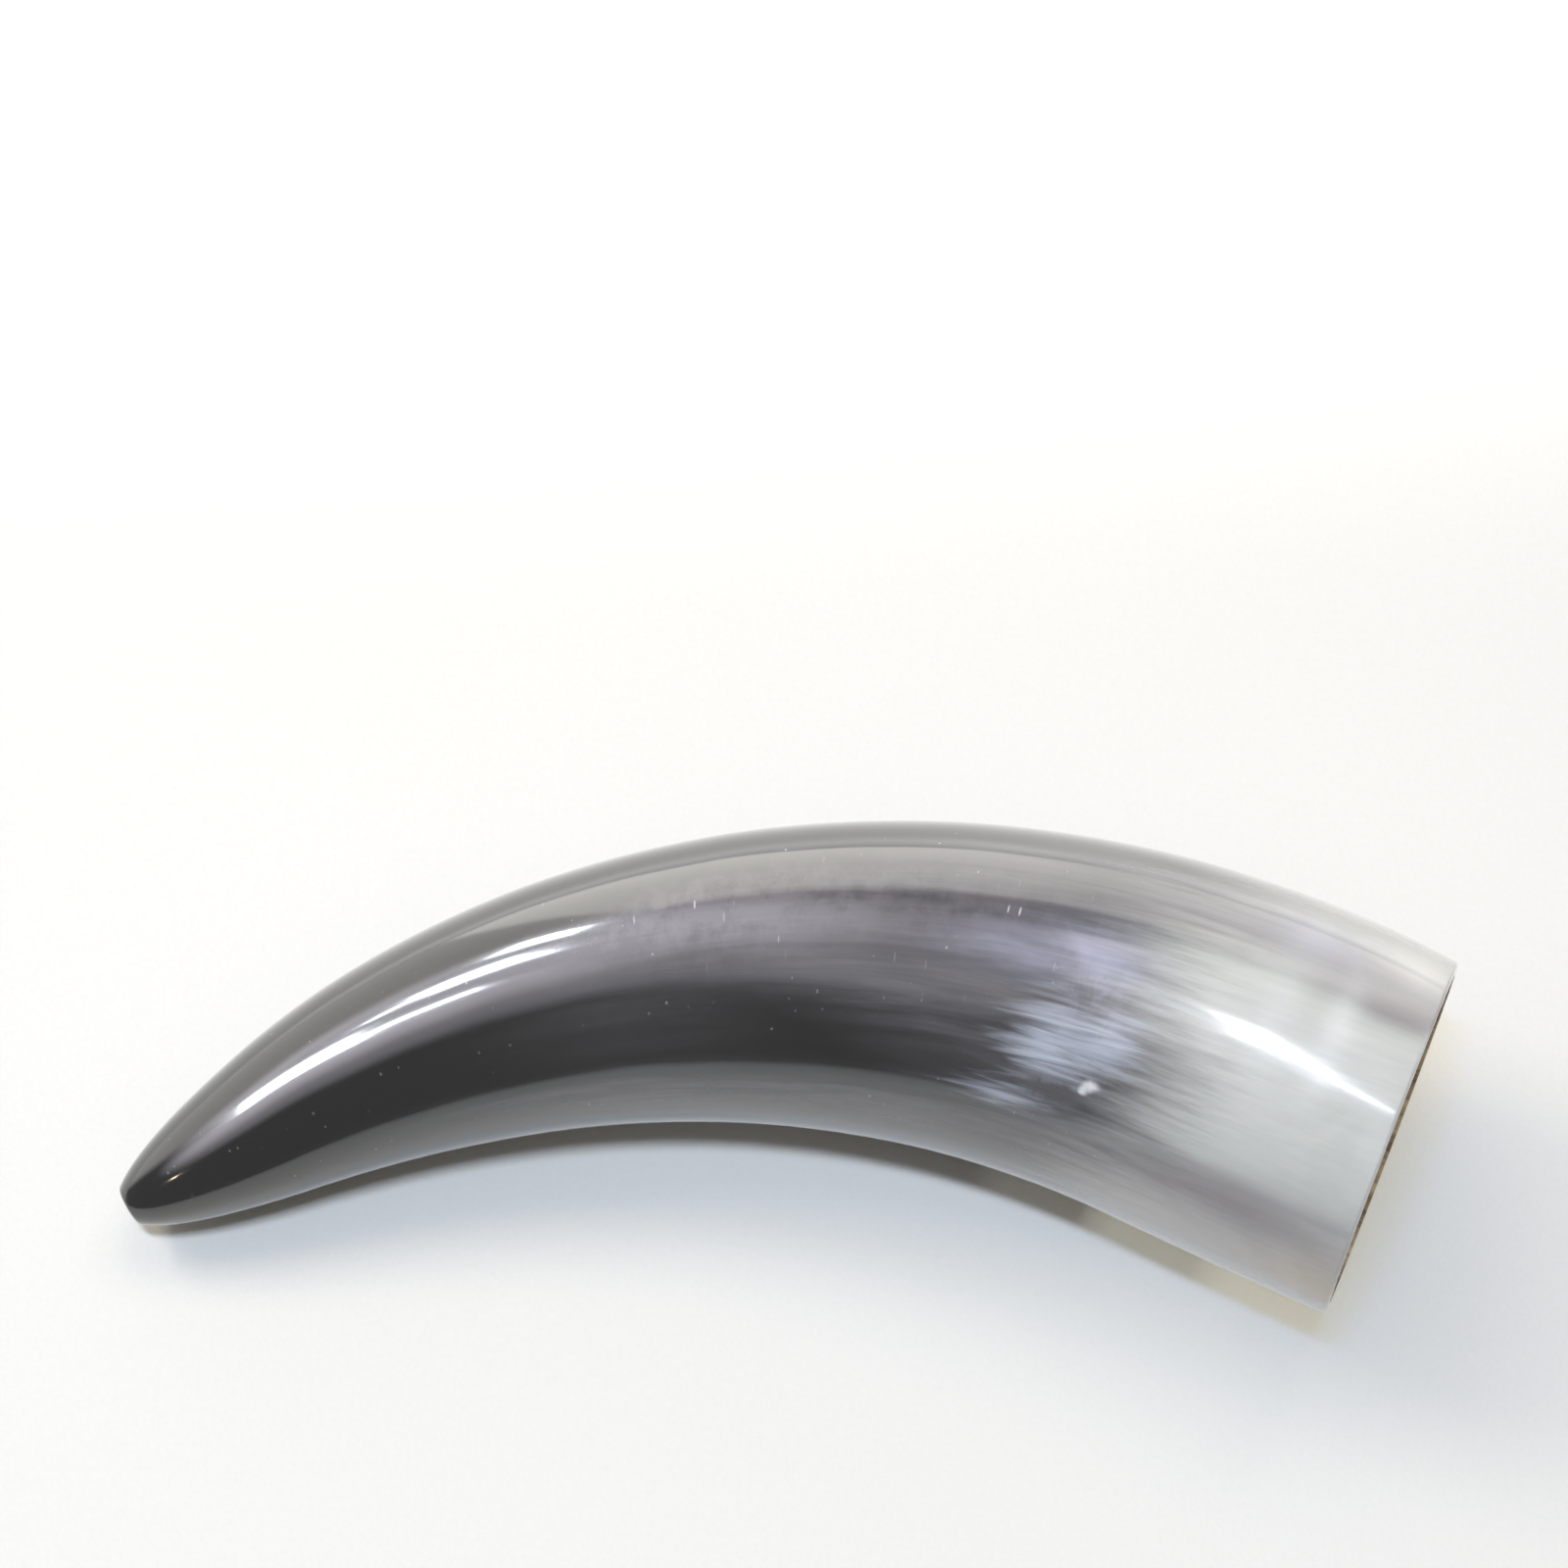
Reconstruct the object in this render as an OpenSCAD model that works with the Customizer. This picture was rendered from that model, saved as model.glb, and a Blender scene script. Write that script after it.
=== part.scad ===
// Shofar: a polished cattle horn that lies on its side on a table.
// The horn is modelled as it grows: a solid tip, then nested cones of keratin that each lap under
// the one before, and a thin lining inside them all. Millimetres, +Z up, resting on Z = 0.

/* [Size] */
// Length along the centreline, from the mouth face to the bell rim
horn_length = 250; // [235:1:275]
// Outside radius of the bell
bell_radius = 36; // [33:0.5:39]

/* [Bend] */
// Length of the straight stretch behind the mouth face
tip_straight = 33; // [25:0.5:45]
// Radius of the centreline through the bend
bend_radius = 190; // [180:1:230]
// Angle that the centreline turns through
bend_angle = 53; // [35:0.5:60]

/* [Taper] */
// Length that is cut off the natural point of the horn
point_cut = 2.1; // [2:0.1:6]
// How early the outside reaches its full width
taper_fullness = 1.22; // [1.1:0.01:1.5]
// How pointed the outside is at the mouth end
taper_power = 0.49; // [0.45:0.01:0.55]
// How far the outer side of the bend pulls in at the bell rim
bell_tuck = 3.7; // [0:0.1:5]
// Length over which it pulls in
tuck_length = 40; // [30:1:60]

/* [Hollow] */
// Part of the length that is solid, from the mouth face
solid_share = 0.29; // [0.2:0.01:0.29]
// How early the hollow reaches its full width
hollow_fullness = 1.5; // [1.3:0.05:1.6]
// How pointed the hollow is at its nose
hollow_power = 0.5; // [0.48:0.01:0.55]
// Wall at the bell rim, with the lining
rim_wall = 3; // [2.5:0.1:4]
// Thickness of the lining at the bell rim
lining_wall = 0.8; // [0.6:0.1:1.2]
// Chamfer round the outside of the bell rim
rim_chamfer = 0.8; // [0.3:0.1:1.2]

/* [Mouth hole] */
// Radius of the drilled mouth hole
mouth_radius = 2; // [1.5:0.1:2.1]
// How much wider the lip cup is than the hole
cup_flare = 0.7; // [0.2:0.1:0.7]
// Depth of the lip cup
cup_depth = 3; // [2:0.5:5]
// Chamfer round the mouth face
face_chamfer = 0.6; // [0.3:0.1:0.6]

/* [Resting pose] */
// Turn about the tip's own axis, which lays the bend down on its side
rest_roll = 2.8; // [1:0.1:6]
// Rise of the tip's axis towards the bell
rest_rise = 8.3; // [6:0.1:10]
// Turn about the upright axis, which brings the horn's length onto X
rest_yaw = 29.2; // [24:0.2:34]

/* [Hidden] */

sides = 40;             // points round each ring
first_lap = 9;          // station where the first lap leaves the lining
cone_stations = 3;      // stations along each lap, and along the outside that each cone shows
cone_count = 6;
station_count = first_lap + (cone_count + 1) * cone_stations;   // equal steps along the centreline
tip_steps = [0.6, 1.6, 3, 5.5];   // extra rings where the tip is blunt
nose_steps = [0.6, 2.2];          // extra rings at the nose of the hollow and of the lining
nose_wall = 1;          // thickness of the lining at its nose
drill_reach = 9;        // how far the mouth hole's drill runs on beside the nose of the hollow
overshoot = 1;          // how far a cutting tool starts outside the surface

hollow_nose = horn_length * solid_share;
lining_nose = hollow_nose - nose_wall;
bend_length = bend_radius * bend_angle * PI / 180;

black_horn = "#26272a";
dark_horn = "#34353a";
cloudy_horn = "#8f909b";
pearl_horn = "#c3c2bc";
bell_horn = "#cdc7ba";
lining_horn = "#b7a98d";

// ---- Centreline ----

function station(i) = horn_length * i / station_count;

function heading(s) = min(max(s - tip_straight, 0) / bend_length, 1) * bend_angle;

// The centreline runs along +X from the mouth face and turns towards -Y
function centre(s) =
    let (turn = heading(s), after = max(s - tip_straight - bend_length, 0))
    [min(s, tip_straight) + bend_radius * sin(turn) + after * cos(turn),
     -bend_radius * (1 - cos(turn)) - after * sin(turn),
     0];

// How far every surface is pulled in near the bell, most on the outer side of the bend
function tuck(s, around) =
    bell_tuck * pow(max(0, 1 - (horn_length - s) / tuck_length), 2) * pow((1 + cos(around)) / 2, 2);

// Point on the ring at s. Angle 0 is the outer side of the bend.
function ring_point(s, radius, around) = let (reach = radius - tuck(s, around))
    centre(s) + reach * [cos(around) * sin(heading(s)), cos(around) * cos(heading(s)), sin(around)];

// ---- Radii ----

function swell(share, fullness, power) = pow(1 - pow(1 - share, fullness), power);

function outside(s) =
    bell_radius * swell((s + point_cut) / (horn_length + point_cut), taper_fullness, taper_power);

function hollow(s, nose, mouth) =
    mouth * swell((s - nose) / (horn_length - nose), hollow_fullness, hollow_power);

function lining_inside(s) = hollow(s, hollow_nose, bell_radius - rim_wall);

function lining_outside(s) = hollow(s, lining_nose, bell_radius - rim_wall + lining_wall);

// ---- Profiles: lists of [distance along the centreline, radius] ----

function outside_profile(from, to) = [for (i = [from : to]) [station(i), outside(station(i))]];

// The last stretch of the outside, with the chamfer at the rim
function rim_profile(from) = concat(
    outside_profile(from, station_count - 1),
    [[horn_length - rim_chamfer, outside(horn_length - rim_chamfer)]],
    [[horn_length, bell_radius - rim_chamfer]]
);

// The first stretch of the outside, with the chamfer at the mouth face
function mouth_profile(to) = concat(
    [[0, outside(0) - face_chamfer]],
    [for (s = tip_steps) [s, outside(s)]],
    outside_profile(1, to)
);

function lining_profile(from, to) = [for (i = [from : to]) [station(i), lining_outside(station(i))]];

// A lap leaves the lining at station first and reaches the outside cone_stations later
function lap_profile(first) = [
    for (i = [0 : cone_stations])
        let (s = station(first + i), share = i / cone_stations)
        [s, lining_outside(s) * (1 - share) + outside(s) * share]
];

// The outside of the lining, or the seat for it, from its nose back to station first
function lining_nose_profile(first) = concat(
    [for (d = nose_steps) [lining_nose + d, lining_outside(lining_nose + d)]],
    [[station(first), lining_outside(station(first))]]
);

function reversed(list) = [for (i = [len(list) - 1 : -1 : 0]) list[i]];

function without_first(list) = [for (i = [1 : len(list) - 1]) list[i]];

function without_ends(list) = [for (i = [1 : len(list) - 2]) list[i]];

// ---- Solids swept round the centreline ----

function swept_points(profile) =
    [for (p = profile) for (k = [0 : sides - 1]) ring_point(p[0], p[1], k * 360 / sides)];

// Two triangles between rings a and b. The diagonal always starts on the ring nearer the mouth,
// so that the faces of two neighbouring solids match.
function band_faces(profile, a, b) = [
    for (k = [0 : sides - 1])
        let (n = (k + 1) % sides,
             a0 = a * sides + k, a1 = a * sides + n, b0 = b * sides + k, b1 = b * sides + n)
        each profile[a][0] <= profile[b][0] ? [[a0, a1, b1], [a0, b1, b0]]
                                            : [[a0, a1, b0], [a1, b1, b0]]
];

module swept_loop(profile) {
    count = len(profile);
    polyhedron(
        points = swept_points(profile),
        faces = [for (i = [0 : count - 1]) each band_faces(profile, i, (i + 1) % count)],
        convexity = 8
    );
}

module swept_plug(profile) {
    count = len(profile);
    first_cap = [for (k = [sides - 1 : -1 : 0]) k];
    last_cap = [for (k = [0 : sides - 1]) (count - 1) * sides + k];
    polyhedron(
        points = swept_points(profile),
        faces = concat(
            [first_cap],
            [for (i = [0 : count - 2]) each band_faces(profile, i, i + 1)],
            [last_cap]
        ),
        convexity = 8
    );
}

// ---- Resting pose ----

// The same three turns as rotate([rest_roll, -rest_rise, rest_yaw])
function resting_point(p) =
    let (rolled = [p[0], p[1] * cos(rest_roll) - p[2] * sin(rest_roll),
                   p[1] * sin(rest_roll) + p[2] * cos(rest_roll)],
         raised = [rolled[0] * cos(rest_rise) - rolled[2] * sin(rest_rise), rolled[1],
                   rolled[2] * cos(rest_rise) + rolled[0] * sin(rest_rise)])
    [raised[0] * cos(rest_yaw) - raised[1] * sin(rest_yaw),
     raised[0] * sin(rest_yaw) + raised[1] * cos(rest_yaw), raised[2]];

skin = [for (p = swept_points(concat(mouth_profile(1), rim_profile(2)))) resting_point(p)];
skin_low = [for (axis = [0 : 2]) min([for (p = skin) p[axis]])];
skin_high = [for (axis = [0 : 2]) max([for (p = skin) p[axis]])];

// Lays the horn down, with the origin under the middle of its box
module resting() {
    translate([-(skin_low[0] + skin_high[0]) / 2, -(skin_low[1] + skin_high[1]) / 2, -skin_low[2]])
        rotate([rest_roll, -rest_rise, rest_yaw])
            children();
}

// ---- Parts ----

module mouth_hole() {
    rotate([0, 90, 0]) {
        translate([0, 0, -overshoot])
            cylinder(r = mouth_radius, h = hollow_nose + drill_reach + overshoot, $fn = 64);
        cylinder(r1 = mouth_radius + cup_flare, r2 = mouth_radius, h = cup_depth, $fn = 64);
    }
}

// The solid end that is blown: drilled mouth hole, lip cup and the seat for the first cone
module mouthpiece_tip() {
    seat = concat(lining_nose_profile(first_lap), without_first(lap_profile(first_lap)));
    color(black_horn)
        difference() {
            swept_plug(concat(mouth_profile(first_lap + cone_stations), without_first(reversed(seat))));
            mouth_hole();
        }
}

// Growth cone number k, counted from the tip. It laps under the cone before it and over the next.
// The drill nicks the front edge of the first one, where it breaks into the hollow beside its nose.
module growth_cone(k, tint) {
    front = first_lap + cone_stations * (k - 1);
    back = front + 2 * cone_stations;
    color(tint)
        difference() {
            swept_loop(concat(
                lap_profile(front),
                without_first(outside_profile(front + cone_stations, back)),
                without_first(reversed(lap_profile(back - cone_stations))),
                without_ends(reversed(lining_profile(front, back - cone_stations)))
            ));
            if (k == 1) mouth_hole();
        }
}

// The last cone ends square at the bell rim
module bell_cone() {
    front = station_count - 2 * cone_stations;
    color(bell_horn)
        swept_loop(concat(
            lap_profile(front),
            without_first(rim_profile(front + cone_stations)),
            reversed(without_first(lining_profile(front, station_count)))
        ));
}

// The thin innermost cup, which faces the air
module inner_lining() {
    outer = concat(lining_nose_profile(first_lap), lining_profile(first_lap + 1, station_count));
    inner = concat([for (d = nose_steps) [hollow_nose + d, lining_inside(hollow_nose + d)]],
                   [for (i = [first_lap : station_count]) [station(i), lining_inside(station(i))]]);
    color(lining_horn)
        difference() {
            swept_plug(concat(outer, reversed(inner)));
            mouth_hole();
        }
}

resting() mouthpiece_tip();
resting() growth_cone(1, dark_horn);  // dark_cone_1
resting() growth_cone(2, dark_horn);  // dark_cone_2
resting() growth_cone(3, dark_horn);  // dark_cone_3
resting() growth_cone(4, cloudy_horn);  // cloudy_cone
resting() growth_cone(5, pearl_horn);  // pearl_cone
resting() bell_cone();
resting() inner_lining();
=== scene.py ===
import math

import bpy
import numpy as np
from mathutils import Matrix, Vector


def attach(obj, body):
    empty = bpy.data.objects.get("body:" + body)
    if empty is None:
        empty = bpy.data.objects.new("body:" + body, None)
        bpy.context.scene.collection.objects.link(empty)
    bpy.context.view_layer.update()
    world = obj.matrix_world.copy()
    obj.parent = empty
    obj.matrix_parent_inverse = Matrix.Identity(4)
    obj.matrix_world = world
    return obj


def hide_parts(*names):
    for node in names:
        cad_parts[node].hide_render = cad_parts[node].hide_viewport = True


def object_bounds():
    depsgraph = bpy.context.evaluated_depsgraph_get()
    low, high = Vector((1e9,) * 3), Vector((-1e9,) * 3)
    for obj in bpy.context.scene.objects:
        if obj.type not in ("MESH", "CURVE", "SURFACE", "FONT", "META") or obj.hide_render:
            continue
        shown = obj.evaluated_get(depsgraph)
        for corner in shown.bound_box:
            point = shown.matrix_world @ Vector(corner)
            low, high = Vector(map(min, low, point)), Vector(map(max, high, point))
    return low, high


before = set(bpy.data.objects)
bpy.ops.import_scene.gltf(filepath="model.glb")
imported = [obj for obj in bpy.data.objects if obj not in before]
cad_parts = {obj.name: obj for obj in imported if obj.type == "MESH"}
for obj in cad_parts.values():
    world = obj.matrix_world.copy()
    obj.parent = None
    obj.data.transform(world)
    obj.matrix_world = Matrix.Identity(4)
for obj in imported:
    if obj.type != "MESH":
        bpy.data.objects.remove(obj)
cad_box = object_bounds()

# The looks of a polished cattle-horn shofar that lies on its side. Metres, +Z up, as in the frame.
# A place on the horn is given by s, the distance along its centreline from the mouth face, and by
# around, the angle round it: 0 is the outer side of the bend, 90 degrees the top as it lies.

MM = 0.001

# ---- Driving dimensions, the same as the CAD part's ----

LENGTH = 250 * MM
BELL_RADIUS = 36 * MM
TIP_STRAIGHT = 33 * MM
BEND_RADIUS = 190 * MM
BEND_ANGLE = math.radians(53)
POINT_CUT = 2.1 * MM
TAPER_FULLNESS = 1.22
TAPER_POWER = 0.49
BELL_TUCK = 3.7 * MM
TUCK_LENGTH = 40 * MM
HOLLOW_NOSE = 0.29 * LENGTH
HOLLOW_FULLNESS = 1.5
HOLLOW_POWER = 0.5
RIM_WALL = 3 * MM
LINING_WALL = 0.8 * MM
LINING_NOSE = HOLLOW_NOSE - 1 * MM
RIM_ROUND = 0.8 * MM
LINING_ROUND = 0.4 * MM
HOLE_RADIUS = 2 * MM
CUP_FLARE = 0.7 * MM
CUP_DEPTH = 3 * MM
LIP_ROUND = 0.25 * MM
LIP_START = (0.35 * MM, HOLE_RADIUS + CUP_FLARE - 0.08 * MM)
FACE_ROUND = 0.6 * MM
FACE_CORNER = 0.65 * MM      # the corner that is rounded off lies this far outside the flat face
REST_ROLL, REST_RISE, REST_YAW = (math.radians(a) for a in (2.8, -8.3, 29.2))
CAD_SIDES = 40
CAD_STATIONS = 30
CAD_TIP_STEPS = [0.6 * MM, 1.6 * MM, 3 * MM, 5.5 * MM]

STATION = LENGTH / CAD_STATIONS
FIRST_LAP = 9 * STATION      # where the first lap leaves the lining
LAP = 3 * STATION            # length of each lap, and of the skin that each cone shows

# ---- Mesh resolution ----

SIDES = 256
SKIN_STEP = 0.5 * MM         # between the rings that show
HIDDEN_STEP = 2.5 * MM
LINING_STEP = 1 * MM
ROUNDING_RINGS = 8
PATCH_RINGS = 12
PATCH_EDGE = 85 * MM         # where the rounded nose of the hollow starts, round the drilled hole
SEARCH_START, SEARCH_END = 60 * MM, 95 * MM      # the hole breaks into the hollow between these

AROUND = np.arange(SIDES) * 2 * np.pi / SIDES


# ---- Shape of the horn ----

def swell(share, fullness, power):
    return (1 - (1 - np.clip(share, 0, 1)) ** fullness) ** power


def outside(s):
    return BELL_RADIUS * swell((s + POINT_CUT) / (LENGTH + POINT_CUT), TAPER_FULLNESS, TAPER_POWER)


def hollow(s, nose, mouth):
    return mouth * swell((s - nose) / (LENGTH - nose), HOLLOW_FULLNESS, HOLLOW_POWER)


def lining_inside(s):
    return hollow(s, HOLLOW_NOSE, BELL_RADIUS - RIM_WALL)


def lining_outside(s):
    return hollow(s, LINING_NOSE, BELL_RADIUS - RIM_WALL + LINING_WALL)


def lap_radius(s, first):
    """A lap leaves the lining at first, and reaches the outside one lap length later."""
    share = np.clip((s - first) / LAP, 0, 1)
    return lining_outside(s) * (1 - share) + outside(s) * share


def heading(s):
    return np.clip((s - TIP_STRAIGHT) / BEND_RADIUS, 0, BEND_ANGLE)


def centre(s):
    turn = heading(s)
    after = np.maximum(s - TIP_STRAIGHT - BEND_RADIUS * BEND_ANGLE, 0)
    x = np.minimum(s, TIP_STRAIGHT) + BEND_RADIUS * np.sin(turn) + after * np.cos(turn)
    y = -BEND_RADIUS * (1 - np.cos(turn)) - after * np.sin(turn)
    return np.stack([x, y, 0 * x], -1)


def tuck(s, around):
    near_rim = np.clip(1 - (LENGTH - s) / TUCK_LENGTH, 0, None) ** 2
    return BELL_TUCK * near_rim * ((1 + np.cos(around)) / 2) ** 2


def horn_point(s, radius, around=AROUND):
    """Points in the horn's own frame: the tip's axis along +X, the bend towards -Y."""
    s, radius, around = np.broadcast_arrays(s, radius, around)
    turn = heading(s)
    across = np.stack(
        [np.cos(around) * np.sin(turn), np.cos(around) * np.cos(turn), np.sin(around)], -1)
    return centre(s) + (radius - tuck(s, around))[..., None] * across


def rest_turn():
    roll, rise, yaw = REST_ROLL, REST_RISE, REST_YAW
    about_x = np.array([[1, 0, 0], [0, math.cos(roll), -math.sin(roll)],
                        [0, math.sin(roll), math.cos(roll)]])
    about_y = np.array([[math.cos(rise), 0, math.sin(rise)], [0, 1, 0],
                        [-math.sin(rise), 0, math.cos(rise)]])
    about_z = np.array([[math.cos(yaw), -math.sin(yaw), 0], [math.sin(yaw), math.cos(yaw), 0],
                        [0, 0, 1]])
    return about_z @ about_y @ about_x


def rest_shift(turn):
    """How far the turned horn moves, so that its lowest corner meets the CAD model's."""
    s = np.concatenate([[0], CAD_TIP_STEPS, np.arange(1, CAD_STATIONS) * STATION,
                        [LENGTH - RIM_ROUND, LENGTH]])
    radius = outside(s)
    radius[0] -= FACE_ROUND
    radius[-1] = BELL_RADIUS - RIM_ROUND
    around = np.arange(CAD_SIDES) * 2 * np.pi / CAD_SIDES
    turned = horn_point(s[:, None], radius[:, None], around) @ turn.T
    return np.array(cad_box[0]) - turned.reshape(-1, 3).min(0)


TURN = rest_turn()
SHIFT = rest_shift(TURN)


def in_row(points):
    return points @ TURN.T + SHIFT


# ---- Relief: the slight unevenness that hand polishing leaves in the skin ----

# Each wave: height, length along the horn, waves round it, phase
WAVES = [
    (0.030 * MM, 61 * MM, 2, 0.6),
    (0.022 * MM, 37 * MM, 3, 2.1),
    (0.010 * MM, 19 * MM, 4, 4.0),
]


def relief(s, around):
    height = 0 * s * around
    for size, length, count, phase in WAVES:
        height = height + size * np.sin(2 * np.pi * s / length + phase) * np.cos(count * around + phase)
    fade = np.clip(s / (20 * MM), 0, 1) * np.clip((LENGTH - s) / (10 * MM), 0, 1)
    return height * fade


def skin_point(s, around=AROUND):
    return horn_point(s, outside(s) + relief(s, around), around)


# ---- Grids of rings, and the closed meshes made from them ----

def steps(start, end, step):
    return np.linspace(start, end, max(2, round(abs(end - start) / step) + 1))


class Grid:
    """Rings of points in the horn's frame, from one edge of a smooth surface to the other.

    s is kept beside the points. lead and tail are one more ring at each end, if the surface runs
    on into the next piece, so that the normals at the seam match on both pieces. The last ring of
    a leading grid is the one kept where two grids meet.
    """

    def __init__(self, points, s, lead=None, tail=None, leading=False):
        self.points = points
        self.leading = leading
        self.s = np.broadcast_to(s, points.shape[:2])
        longer = [g for g in (lead, points, tail) if g is not None]
        along = np.gradient(np.concatenate(longer), axis=0)
        full = np.concatenate(longer)
        across = np.roll(full, -1, 1) - np.roll(full, 1, 1)
        normal = -np.cross(along, across)
        size = np.linalg.norm(normal, axis=-1, keepdims=True)
        normal = normal / np.maximum(size, 1e-12)
        first = 0 if lead is None else 1
        self.normals = normal[first:first + len(points)]


def ring_grid(s, radius):
    return Grid(horn_point(s[:, None], radius[:, None]), s[:, None])


def skin_grid(start, end, lead=True, tail=True):
    s = steps(start, end, SKIN_STEP)[:, None]
    before = skin_point(np.array([[start - SKIN_STEP]])) if lead else None
    after = skin_point(np.array([[end + SKIN_STEP]])) if tail else None
    return Grid(skin_point(s), s, before, after, leading=True)


def rounded(corner_from, corner, corner_to, count=ROUNDING_RINGS):
    """Points on a curve from corner_from to corner_to that rounds off the corner between them."""
    t = np.linspace(0, 1, count)[:, None]
    ends = (1 - t) ** 2 * np.array(corner_from) + t ** 2 * np.array(corner_to)
    return ends + 2 * t * (1 - t) * np.array(corner)


def joined(*grids):
    """One smooth grid from several that follow each other, with the shared rings kept once."""
    points = [grids[0].points] + [g.points[1:] for g in grids[1:]]
    s = [grids[0].s] + [g.s[1:] for g in grids[1:]]
    return Grid(np.concatenate(points), np.concatenate(s), leading=grids[-1].leading)


def closed_mesh(name, grids, drop_repeats=False):
    """A closed mesh from grids that follow each other round the piece's section."""
    for grid, following in zip(grids, grids[1:]):
        if grid.leading:
            following.points[0] = grid.points[-1]
    counts = [len(g.points) - 1 for g in grids]
    total = sum(counts)
    points = np.concatenate([g.points[:-1] for g in grids]).reshape(-1, 3)
    s = np.concatenate([g.s[:-1] for g in grids]).reshape(-1)
    k = np.arange(SIDES)
    after = (k + 1) % SIDES
    faces, normals = [], []
    ring = 0
    for grid, count in zip(grids, counts):
        for i in range(count):
            a, b = (ring + i) * SIDES, (ring + i + 1) % total * SIDES
            faces.append(np.stack([a + k, a + after, b + after, b + k], -1))
            n0, n1 = grid.normals[i], grid.normals[i + 1]
            normals.append(np.stack([n0[k], n0[after], n1[after], n1[k]], 1))
        ring += count
    faces = np.concatenate(faces).tolist()
    normals = np.concatenate(normals) @ TURN.T
    if drop_repeats:
        faces, normals, keep = without_repeats(points, faces, normals)
    else:
        keep = np.arange(len(points))
        normals = normals.reshape(-1, 3)
    mesh = bpy.data.meshes.new(name)
    mesh.from_pydata(in_row(points[keep]).tolist(), [], faces)
    mesh.polygons.foreach_set("use_smooth", [True] * len(mesh.polygons))
    mesh.normals_split_custom_set(normals.tolist())
    add_places(mesh, s[keep], np.tile(AROUND, len(points) // SIDES)[keep], points[keep])
    mesh.update()
    return mesh


def without_repeats(points, faces, normals):
    """Welds points that lie in one place, and takes out the faces and corners that this empties."""
    _, first, same = np.unique(np.round(points / (1e-4 * MM)), axis=0,
                               return_index=True, return_inverse=True)
    keep = np.sort(first)
    place = {old: new for new, old in enumerate(keep)}
    target = [place[first[g]] for g in same.reshape(-1)]
    new_faces, new_normals = [], []
    for face, corners in zip(faces, normals):
        ids, used = [], []
        for old, normal in zip(face, corners):
            if target[old] not in ids:
                ids.append(target[old])
                used.append(normal)
        if len(ids) > 2:
            new_faces.append(ids)
            new_normals.extend(used)
    return new_faces, np.array(new_normals), keep


# ---- The drilled hole, which runs straight while the horn bends ----

def halved(low, high, is_beyond, rounds=40):
    """The place between low and high where is_beyond turns true, for each number in the arrays."""
    for _ in range(rounds):
        middle = (low + high) / 2
        beyond = is_beyond(middle)
        low, high = np.where(beyond, low, middle), np.where(beyond, middle, high)
    return (low + high) / 2


def s_at(x, y):
    return np.where(x < TIP_STRAIGHT, x,
                    TIP_STRAIGHT + BEND_RADIUS * np.arctan2(x - TIP_STRAIGHT, y + BEND_RADIUS))


def x_on(radius_at, y, z):
    """Where a line along +X at y, z first meets the inside of a surface round the hollow."""
    def is_open(x):
        reach = np.hypot(x - TIP_STRAIGHT, y + BEND_RADIUS) - BEND_RADIUS
        return radius_at(s_at(x, y)) > np.hypot(reach, z)
    return halved(0 * y + SEARCH_START, 0 * y + SEARCH_END, is_open)


def hole_ring(x, radius=HOLE_RADIUS):
    return np.stack([0 * AROUND + x, radius * np.cos(AROUND), radius * np.sin(AROUND)], -1)


def hole_edge(radius_at):
    y, z = HOLE_RADIUS * np.cos(AROUND), HOLE_RADIUS * np.sin(AROUND)
    return hole_ring(x_on(radius_at, y, z))


def nose_patch(radius_at):
    """The rounded nose of a surface round the hollow, from PATCH_EDGE to the edge of the hole."""
    outer = horn_point(PATCH_EDGE, radius_at(np.array(PATCH_EDGE)))
    inner = hole_edge(radius_at)
    rings = []
    for share in np.linspace(0, 1, PATCH_RINGS):
        y, z = ((1 - share) * outer + share * inner)[:, 1:].T
        rings.append(np.stack([x_on(radius_at, y, z), y, z], -1))
    points = np.array(rings)
    points[0] = outer
    points[-1] = inner
    return Grid(points, s_at(points[..., 0], points[..., 1]))


def straight_grid(start, end, count):
    t = np.linspace(0, 1, count)[:, None, None]
    points = start * (1 - t) + end * t
    return Grid(points, s_at(points[..., 0], points[..., 1]))


def backwards(grid):
    return Grid(grid.points[::-1], grid.s[::-1])


# ---- Sections of the pieces ----

def mouth_face():
    """From the lip cup, over the narrow face, round its edge and on to the first ring of the skin."""
    cup = HOLE_RADIUS + CUP_FLARE
    face = outside(np.array(0.0)) - FACE_ROUND
    lip = rounded(LIP_START, (0, cup), (0, cup + LIP_ROUND))
    edge = rounded((0, face), (0, face + FACE_CORNER), (FACE_ROUND, outside(FACE_ROUND)))
    section = np.concatenate([lip, edge])
    return ring_grid(section[:, 0], section[:, 1])


def tip_grids():
    """The solid tip: skin, seat for the first cone, drilled hole, lip cup and mouth face."""
    def seat(s):
        return np.where(s < FIRST_LAP, lining_outside(s), lap_radius(s, FIRST_LAP))
    skin = skin_grid(FACE_ROUND, FIRST_LAP + LAP, lead=False)
    back = steps(FIRST_LAP + LAP, PATCH_EDGE, HIDDEN_STEP)
    seat_grid = ring_grid(back, seat(back))
    patch = nose_patch(seat)
    cup_end = hole_ring(CUP_DEPTH)
    bore = straight_grid(hole_edge(seat), cup_end, 30)
    cup = straight_grid(cup_end, horn_point(*LIP_START), 8)
    face = mouth_face()
    return [joined(face, skin), seat_grid, patch, bore, cup]


def lap_grid(first):
    s = steps(first, first + LAP, HIDDEN_STEP)
    return ring_grid(s, lap_radius(s, first))


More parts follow.
